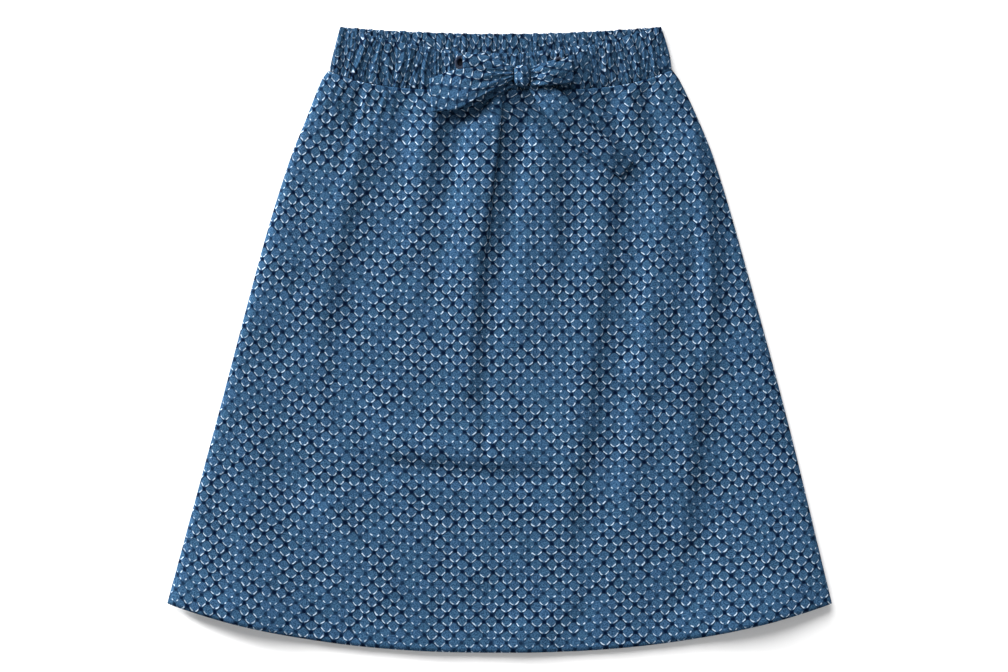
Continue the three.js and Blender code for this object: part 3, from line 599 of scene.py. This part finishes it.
lawn = printed_cotton("printed_cotton_lawn", PANEL_TONE)
face_plan, turn = panel_plan(below_seam, hem, 0, FRONT_ROLL, PANEL_COLUMNS, PANEL_ROWS)
under_plan, _ = panel_plan(below_seam, hem, CLOTH, FRONT_ROLL - CLOTH, PANEL_COLUMNS, PANEL_ROWS)
lift = panel_lift(face_plan[..., 0], face_plan[..., 1])
curl = hem_curl(face_plan[..., 0], face_plan[..., 1])
face_height = curl + EDGE_HEIGHT + (LAID + lift - EDGE_HEIGHT) * turn
under_height = curl + EDGE_HEIGHT + (LAID - CLOTH + lift - EDGE_HEIGHT) * turn
front_panel = wall(
    "front_panel_cloth",
    np.concatenate([drawn_in(face_plan, lift), face_height[..., None]], -1),
    np.concatenate([drawn_in(under_plan, lift), under_height[..., None]], -1),
    panel_cloth(face_plan, LAID + lift),
    lawn,
)
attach(front_panel, "root")
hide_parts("front_panel")


# Back panel: cut as the front, and lying face down under it. Its own weight presses it nearly
# flat, and its sides turn up to meet the front's.
BACK_ROLL = 7
HEM_INSET = 2
BACK_COLUMNS, BACK_ROWS = 110, 80
BACK_CRUMPLE, BACK_CRUMPLE_SIZE = 0.5, 55


def back_hem(x):
    """The back's hem lies just inside the front's."""
    return hem(x) + HEM_INSET


inner_plan, turn = panel_plan(below_seam, back_hem, CLOTH, BACK_ROLL - CLOTH, BACK_COLUMNS,
                              BACK_ROWS)
outer_plan, _ = panel_plan(below_seam, back_hem, 0, BACK_ROLL, BACK_COLUMNS, BACK_ROWS)
x, y = outer_plan[..., 0], outer_plan[..., 1]
press = BACK_CRUMPLE * np.clip(0.5 + 0.5 * uneven(x, y, BACK_CRUMPLE_SIZE, seed=5.1), 0, 1)
edge = EDGE_HEIGHT - SEAM_GAP
inner_height = hem_curl(x, y) + edge + (BACK_WALL - edge) * turn
outer_height = hem_curl(x, y) + edge + (press - edge) * turn
back_panel = wall(
    "back_panel_cloth",
    np.concatenate([inner_plan, inner_height[..., None]], -1),
    np.concatenate([outer_plan, outer_height[..., None]], -1),
    panel_cloth(outer_plan, press),
    lawn,
)
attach(back_panel, "root")
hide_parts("back_panel")


# Waistband: a casing of the same lawn, folded over 40 mm elastic and sewn to the panels. The
# elastic draws it into uneven upright gathers, and the front half dips below the back.
BAND_TOP, BAND_TOP_RISE, BAND_TOP_HALF = 320.8, 7.3, 168
FRONT_DIP, FRONT_DIP_POWER = 21, 1.8
BAND_SIDES = [
    dict(y=283, left=178, right=180.3),
    dict(y=293.5, left=175.9, right=179.2),
    dict(y=304, left=173.3, right=176.9),
    dict(y=328.1, left=167, right=169.4),
]
GATHER_COLUMNS = 16
BAND_ROWS = 40
GATHER_RISE, BACK_GATHER_RISE = 2.4, 1.2
BACK_GATHER_SHIFT = 2.9  # the back's gathers don't follow the front's
BAND_THICK, BACK_BAND_THICK = 1.4, 2.6
BAND_EDGE, BAND_ROLL, BAND_JAG = 1, 7, 1.1
FRONT_BAND_LEVEL = 4.1
BAND_FULLNESS = 0.8  # cloth taken up in the hollows of the gathers, for each millimetre
BAND_WANDER = (2.6, 1.5)  # how far the print strays up and down on the gathers
# the band's lawn is drawn darker than the panel's: painted shade for the shade among its gathers
BAND_SHADE_TONE = 0.56
OPENING_WALL = 0.5  # the casing sinks to this in a buttonhole
BUTTONHOLES = ((-41, 290, 5, 6.4), (62, 289, 4, 6))  # middle and half sizes of each opening


def back_band_top(x):
    """The upper edge of the band's back half."""
    return BAND_TOP + BAND_TOP_RISE * (x / BAND_TOP_HALF) ** 2


def front_band_top(x):
    """The upper edge of the front half, which dips."""
    across = np.clip(np.abs(x / BAND_TOP_HALF), 0, 1)
    return back_band_top(x) - FRONT_DIP * (1 - across**FRONT_DIP_POWER)


def band_grid(top_curve, shift):
    """The plan of a band's grid, how full and how turned each place is, and its cloth."""
    g = np.linspace(0, GATHERS, GATHERS * GATHER_COLUMNS + 1)
    g, down = np.meshgrid(g, np.linspace(0, 1, BAND_ROWS + 1))
    across = g / GATHERS
    full, crest = gathers(g, down, shift)
    plan = patch(top_curve, seam, BAND_SIDES, 0, across, down)
    width = patch(top_curve, seam, BAND_SIDES, 0, np.array([[0.0, 1.0]]), down[:, :1])
    width = (width[:, 1, 0] - width[:, 0, 0])[:, None]
    part = np.clip(np.minimum(across, 1 - across) * width / BAND_ROLL, 0, 1)
    roll = np.sqrt(1 - (1 - part) ** 2)
    plan[..., 1] += BAND_JAG * (full - 0.5) * (1 - down) ** 3
    swell = (0.5 + 0.5 * smooth(down, 0, 0.14)) * (1 - 0.45 * smooth(down, 0.84, 1))
    taken = 1 + 2 * BAND_FULLNESS * (1 - crest) + 0.5 * np.sin(7 * g + 2 * down)
    u = np.cumsum(np.diff(across, axis=1, prepend=0) * width * taken, axis=1)
    u -= u[:, [u.shape[1] // 2]]
    v = plan[..., 1] + BAND_WANDER[0] * np.sin(2.1 * g + shift) + BAND_WANDER[1] * np.sin(5.3 * g)
    return plan, full * swell, swell, roll, np.stack([u, v], -1)


plan, full, swell, roll, cloth = band_grid(front_band_top, GATHER_SHIFT)
thick = BAND_THICK * swell + GATHER_RISE * full
for hole_x, hole_y, half_width, half_height in BUTTONHOLES:
    reach = np.hypot((plan[..., 0] - hole_x) / half_width, (plan[..., 1] - hole_y) / half_height)
    thick -= (thick - OPENING_WALL) * (1 - smooth(reach, 0.75, 1.1))
height = FRONT_BAND_LEVEL + BAND_EDGE + (thick - BAND_EDGE) * roll
level = np.full(plan.shape[:2] + (1,), FRONT_BAND_LEVEL)
# The same lawn with a lower tone, which is painted shade over the whole band
shaded_gathered_lawn = printed_cotton("gathered_cotton_lawn_painted_shade", BAND_SHADE_TONE)
front_band = wall("waistband_front_casing", np.concatenate([plan, height[..., None]], -1),
                  np.concatenate([plan, level], -1), cloth, shaded_gathered_lawn)
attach(front_band, "root")
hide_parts("waistband_front")

plan, full, swell, roll, cloth = band_grid(back_band_top, BACK_GATHER_SHIFT)
most = BACK_BAND_THICK + BACK_GATHER_RISE
height = most + (BACK_BAND_THICK + BACK_GATHER_RISE * full - most) * roll
level = (most - BAND_EDGE) * (1 - roll)
back_band = wall("waistband_back_casing", np.concatenate([plan, height[..., None]], -1),
                 np.concatenate([plan, level[..., None]], -1), cloth, shaded_gathered_lawn)
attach(back_band, "root")
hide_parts("waistband_back")


# Buttonholes: two openings worked in the band's front with close upright stitches in dark blue
# thread, for the tie to pass through. The ribbed elastic shows inside the left one. Thread and
# elastic are drawn near black, which is partly their own dark blue and partly painted shade for
# the openings' depth.
STITCHES = 44
STITCH_STEPS = 4  # points along the ring for each stitch
RIM_STEPS = 8
RIM_LEVEL, RIM_EDGE, RIM_TALL, STITCH_TALL = 5.4, 0.3, 1.9, 0.35
RIM_INNER, RIM_OUTER = 0.55, 1.25  # as shares of the opening's half sizes
ELASTIC_LEVEL, ELASTIC_THICK, ELASTIC_RIB = 4.75, 0.3, 0.12


def dark_thread(name, colour, rough):
    """Dark blue thread or webbing: dull, with slight unevenness from strand to strand."""
    material = bpy.data.materials.new(name)
    material.use_nodes = True
    tree = material.node_tree
    place = add(tree, "ShaderNodeUVMap", uv_map="cloth")
    strand = add(tree, "ShaderNodeTexNoise", {"Vector": place, "Scale": 1 / (0.6 * MM)})
    darker = [0.55 * part for part in linear(colour)[:3]] + [1.0]
    tint = add(tree, "ShaderNodeMix", {0: strand, 6: linear(colour), 7: darker},
               data_type="RGBA")
    shader = tree.nodes["Principled BSDF"]
    shader.inputs["Roughness"].default_value = rough
    shader.inputs["Specular IOR Level"].default_value = 0.25
    tree.links.new(tint.outputs[2], shader.inputs["Base Color"])
    return material


# These near-black colours are partly painted shade, which makes the openings look deep
shade_dark_stitch_thread = dark_thread("buttonhole_thread_painted_shade", "#16233a", 0.55)
shade_dark_webbing = dark_thread("elastic_webbing_painted_shade", "#0d1422", 0.8)
for side_name, (hole_x, hole_y, half_width, half_height) in zip(("left", "right"), BUTTONHOLES):
    turn = np.linspace(0, 2 * np.pi, STITCHES * STITCH_STEPS + 1)[:, None]
    part = np.linspace(0, 1, RIM_STEPS + 1)[None, :]
    reach = RIM_OUTER + (RIM_INNER - RIM_OUTER) * part
    reach = reach + 0.04 * np.sin(9 * turn) * (1 - part)
    x = hole_x + half_width * reach * np.cos(turn)
    y = hole_y + half_height * reach * np.sin(turn)
    arch = np.sqrt(1 - (2 * part - 1) ** 4)
    rib = np.abs(np.cos(turn * STITCHES / 2)) * STITCH_TALL * arch
    height = RIM_LEVEL + RIM_EDGE + (RIM_TALL - RIM_EDGE) * arch + rib
    around = turn * 6 * np.ones_like(part)
    rim = wall("buttonhole_" + side_name, np.stack([x, y, height], -1),
               np.stack([x, y, np.full_like(x, RIM_LEVEL)], -1),
               np.stack([around, 3 * part * np.ones_like(turn)], -1), shade_dark_stitch_thread)
    rim.data.validate()
    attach(rim, "root")
    across, up = np.meshgrid(np.linspace(-1, 1, 25), np.linspace(1, -1, 9))
    x = hole_x + half_width * across * np.sqrt(1 - up * up * 0.5)
    y = hole_y + half_height * up * np.sqrt(1 - across * across * 0.5)
    height = ELASTIC_LEVEL + ELASTIC_RIB * np.cos(across * 30)
    elastic = wall("elastic_in_buttonhole_" + side_name, np.stack([x, y, height], -1),
                   np.stack([x, y, np.full_like(x, ELASTIC_LEVEL - ELASTIC_THICK)], -1),
                   np.stack([x, y], -1), shade_dark_webbing)
    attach(elastic, "root")


# Tie: a tube of the same lawn cut on the slant, sewn and turned, 30 mm wide where it opens out. It
# comes out of a buttonhole on each side of the middle and is tied in a bow over the seam.
TIE_THICK, TIE_CROWN, TIE_EDGE = 1.8, 0.5, 0.5
# the tie's lawn is drawn a little darker than the panel's: painted shade, against the light that
# its loops catch
TIE_SHADE_TONE = 0.63
TAIL_FULLNESS = 3.4  # the long tail is turned loosely, and stands fuller than the rest
BOW_LEVEL = 8.2
REST_REACH = 7  # a tail lies on the highest cloth within this distance
TIE_COLUMNS, STRIP_ROWS, TAIL_ROWS = 26, 16, 48
TIE_HUMP, TIE_WAVE = 0.8, 0.5
PRINT_STEP = 31  # so that no two stretches show the same part of the print
# The middle line of each stretch from the knot outwards, as X, Y and its width there
TIES = {
    "tie_strip_left": [(13.6, 281.2, 9), (-6, 287.4, 14), (-24, 290.6, 16.5), (-38.5, 290.4, 14)],
    "tie_strip_right": [(34, 281, 8), (46, 284.2, 11), (60, 287, 12)],
    "bow_tail_left": [(13.6, 268.6, 8), (-12, 262, 20), (-40, 254, 24), (-62, 249, 24)],
    "bow_tail_right": [(32.6, 266.4, 9), (50, 254.5, 25), (72, 232, 31), (93, 210, 26),
                       (114, 193.5, 25), (133.6, 178.6, 23)],
}
# Angles between the print and each stretch of tie, in degrees
SLANTS = {"tie_strip_left": 170, "tie_strip_right": -10, "bow_tail_left": 200,
          "bow_tail_right": 42, "bow_loop_left": 25, "bow_loop_right": -13}


def on_slant(along, across, degrees):
    """The cloth's coordinates of a strip whose print lies at this angle to its length."""
    turn = math.radians(degrees)
    return np.stack([along * math.cos(turn) + across * math.sin(turn),
                     across * math.cos(turn) - along * math.sin(turn)], -1)


def tail_level(x, y):
    """The level that the long tail bears on: the band's, and below it the cloth's."""
    lift = panel_lift(x, y)
    for angle in np.arange(8) * np.pi / 4:
        dx, dy = REST_REACH * np.cos(angle), REST_REACH * np.sin(angle)
        lift = np.maximum(lift, panel_lift(x + dx, y + dy))
    share = smooth(y, seam(x) - 16, seam(x) - REST_REACH)
    level = LAID + lift + SEAM_GAP
    return level + (BOW_LEVEL - level) * share


def tie_grid(stations, rows):
    """The plan of a flat stretch of tie, shares along and across it, and its cloth."""
    t = np.linspace(0, 1, rows)[:, None]
    side = np.sin(np.linspace(-1, 1, TIE_COLUMNS + 1) * np.pi / 2)[None, :]
    table = [dict(t=i / (len(stations) - 1), x=s[0], y=s[1], width=s[2])
             for i, s in enumerate(stations)]
    x, y, width = (from_table(table, "t", column, t) for column in ("x", "y", "width"))
    dx, dy = np.gradient(x, axis=0), np.gradient(y, axis=0)
    run = np.hypot(dx, dy)
    px = x - dy / run * width / 2 * side
    py = y + dx / run * width / 2 * side
    along = np.cumsum(run, axis=0) * np.ones_like(side)
    across = side * (0.6 * width + 0.4 * width.max()) / 2
    return px, py, t * np.ones_like(side), side * np.ones_like(t), along, across


# The same lawn with a lower tone, which is painted shade over the whole bow
shaded_tie_lawn = printed_cotton("tie_cotton_lawn_painted_shade", TIE_SHADE_TONE)
for number, (name, stations) in enumerate(TIES.items()):
    x, y, t, side, along, across = tie_grid(stations, STRIP_ROWS if "strip" in name else TAIL_ROWS)
    level = tail_level(x, y) if "tail" in name else np.full_like(x, BOW_LEVEL)
    room = smooth(t, 0, 0.35) if "tail" in name else 0.4
    crease = 0.8 * np.cos(side * 5.5 + number) * np.exp(-t * 4)
    hump = TIE_HUMP * np.exp(-(((side + 0.25 - 0.5 * t) / 0.3) ** 2)) * np.sin(np.pi * t)
    wave = TIE_WAVE * np.sin(7 * t + 2 * side)
    body = TIE_THICK + TIE_CROWN * (1 - side * side) + room * (crease + hump + wave + 0.6)
    if name == "bow_tail_right":
        body += TAIL_FULLNESS * smooth(t, 0, 0.3) * (1 - 0.7 * smooth(t, 0.75, 1))
    body = TIE_EDGE + (body - TIE_EDGE) * np.sqrt(1 - side**6)
    tie = wall(name + "_cotton", np.stack([x, y, level + body], -1), np.stack([x, y, level], -1),
               on_slant(along + PRINT_STEP * number, across, SLANTS[name]), shaded_tie_lawn)
    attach(tie, "root")
    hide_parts(name)
    length = float(along[-1, 0] - along[0, 0]) * MM


# Bow loops: the tie folded back on itself and caught in the knot. Each stands open at its
# sides, and creases fan out from where the knot draws it in.
LOOP_WALL = 1.0
LOOP_SPACE, LOOP_PINCH, LOOP_END = 5.0, 1.0, 2.4  # inside it in its middle and at its ends
LOOP_DROOP = 2.4  # its outer end sinks to the cloth
LOOP_LEVEL = TIE_THICK + TIE_CROWN + 2 * SEAM_GAP
LOOP_WIDTH = 34  # of the strip before the knot draws it in
LOOP_PLEAT, LOOP_BELLY, LOOP_WAVE = 1.3, 1.3, 0.5
LOOP_PRINT_STEP = 47
LOOPS = {
    "bow_loop_left": [
        dict(out=0, ux=14.3, uy=281, lx=14.3, ly=272.4),
        dict(out=1 / 3, ux=-15, uy=283.4, lx=-14, ly=257),
        dict(out=2 / 3, ux=-46, uy=281.6, lx=-43, ly=241.4),
        dict(out=1, ux=-73.6, uy=272.6, lx=-71, ly=238),
    ],
    "bow_loop_right": [
        dict(out=0, ux=33, uy=281.4, lx=33, ly=265.4),
        dict(out=1 / 3, ux=46, uy=286, lx=45, ly=265),
        dict(out=2 / 3, ux=60, uy=290, lx=60, ly=266.4),
        dict(out=1, ux=77, uy=297.6, lx=77.6, ly=269),
    ],
}
LOOP_COLUMNS = 24
LOOP_LEG_STEPS, LOOP_BEND_STEPS = 30, 12


def loop_outline(wall_in, length):
    """Side view of a loop from the knot along its lower leg, round the fold and back."""
    def tall(out):
        space = LOOP_PINCH + (LOOP_SPACE - LOOP_PINCH) * smooth(out, 0, 0.4)
        return 2 * LOOP_WALL + space - (LOOP_SPACE - LOOP_END) * smooth(out, 0.45, 1)

    bend = tall(1.0) / 2
    leg = np.linspace(wall_in / length, 1 - bend / length, LOOP_LEG_STEPS + 1)
    angle = np.pi * (np.arange(1, LOOP_BEND_STEPS) / LOOP_BEND_STEPS - 0.5)
    reach = bend - wall_in
    out = np.concatenate([leg, leg[-1] + reach * np.cos(angle) / length, leg[::-1]])
    up = np.concatenate([np.full_like(leg, wall_in), bend + reach * np.sin(angle),
                         tall(leg[::-1]) - wall_in])
    return out, up


def loop_ring(edges, wall_in, length, seed):
    """One skin of a loop: its side view carried across the strip's width."""
    out, up = loop_outline(wall_in, length)
    part = np.linspace(0, 1, LOOP_COLUMNS + 1)[None, :]
    ux, uy, lx, ly = (from_table(edges, "out", key, out)[:, None]
                      for key in ("ux", "uy", "lx", "ly"))
    x, y = ux + (lx - ux) * part, uy + (ly - uy) * part
    lift = up[:, None] * np.ones_like(part)
    top = smooth(lift, 1.5, 5)
    near = np.exp(-2.2 * out)[:, None]
    pleat = LOOP_PLEAT * np.cos(2 * np.pi * (2.6 * part + 0.15 + 0.4 * seed)) * near
    belly = LOOP_BELLY * np.sin(np.pi * part) * smooth(out, 0.05, 0.6)[:, None]
    wave = LOOP_WAVE * np.sin(6 * out[:, None] + 5 * part + seed)
    droop = LOOP_DROOP * smooth(out, 0.35, 1)[:, None]
    z = BOW_LEVEL + LOOP_LEVEL - droop + lift + top * (pleat + belly + wave)
    return np.stack([x, y, z], -1), part * np.ones_like(lift)


for number, (name, edges) in enumerate(LOOPS.items()):
    near, far = edges[0], edges[-1]
    length = math.hypot(far["ux"] + far["lx"] - near["ux"] - near["lx"],
                        far["uy"] + far["ly"] - near["uy"] - near["ly"]) / 2
    outer, part = loop_ring(edges, 0, length, number)
    inner, _ = loop_ring(edges, LOOP_WALL, length, number)
    # The ring is closed, so its first row follows its last
    outer, inner, part = (np.concatenate([grid, grid[:1]]) for grid in (outer, inner, part))
    steps = np.linalg.norm(np.diff(outer.mean(axis=1), axis=0), axis=1)
    along = np.concatenate([[0], np.cumsum(steps)])[:, None] * np.ones_like(part)
    along += LOOP_PRINT_STEP * (number + 1)
    loop = wall(name + "_cotton", outer, inner,
                on_slant(along, -LOOP_WIDTH * part, SLANTS[name]), shaded_tie_lawn)
    loop.data.validate()
    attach(loop, "root")
    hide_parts(name)


# Knot: the tie wrapped once round the crossing and pulled tight, a rounded lump whose folds
# run down over it.
KNOT_X, KNOT_Y, KNOT_HALF_WIDTH, KNOT_HALF_LENGTH = 23.6, 275.8, 8.6, 11.4
KNOT_EDGE, KNOT_DOME, KNOT_WRAP = 3.4, 6, 1.0
KNOT_STEPS = 30
KNOT_FULLNESS = 1.2  # its folds take up cloth, so its print looks closer
along, side = np.meshgrid(np.linspace(1, -1, KNOT_STEPS + 1), np.linspace(-1, 1, KNOT_STEPS + 1),
                          indexing="ij")
x = KNOT_X + KNOT_HALF_WIDTH * (1 - 0.4 * along**4) * side
y = KNOT_Y + KNOT_HALF_LENGTH * along * (1 - 0.1 * side * side)
swell = np.sqrt((1 - side**2) * (1 - along**4))
wrap = KNOT_WRAP * np.cos(6.4 * side + 1.6 * along) * swell
height = BOW_LEVEL + KNOT_EDGE + KNOT_DOME * swell + wrap
knot = wall("bow_knot_cotton", np.stack([x, y, height], -1),
            np.stack([x, y, np.full_like(x, BOW_LEVEL)], -1),
            on_slant(KNOT_FULLNESS * x + 5, KNOT_FULLNESS * y + 3, 0), shaded_tie_lawn)
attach(knot, "root")
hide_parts("bow_knot")
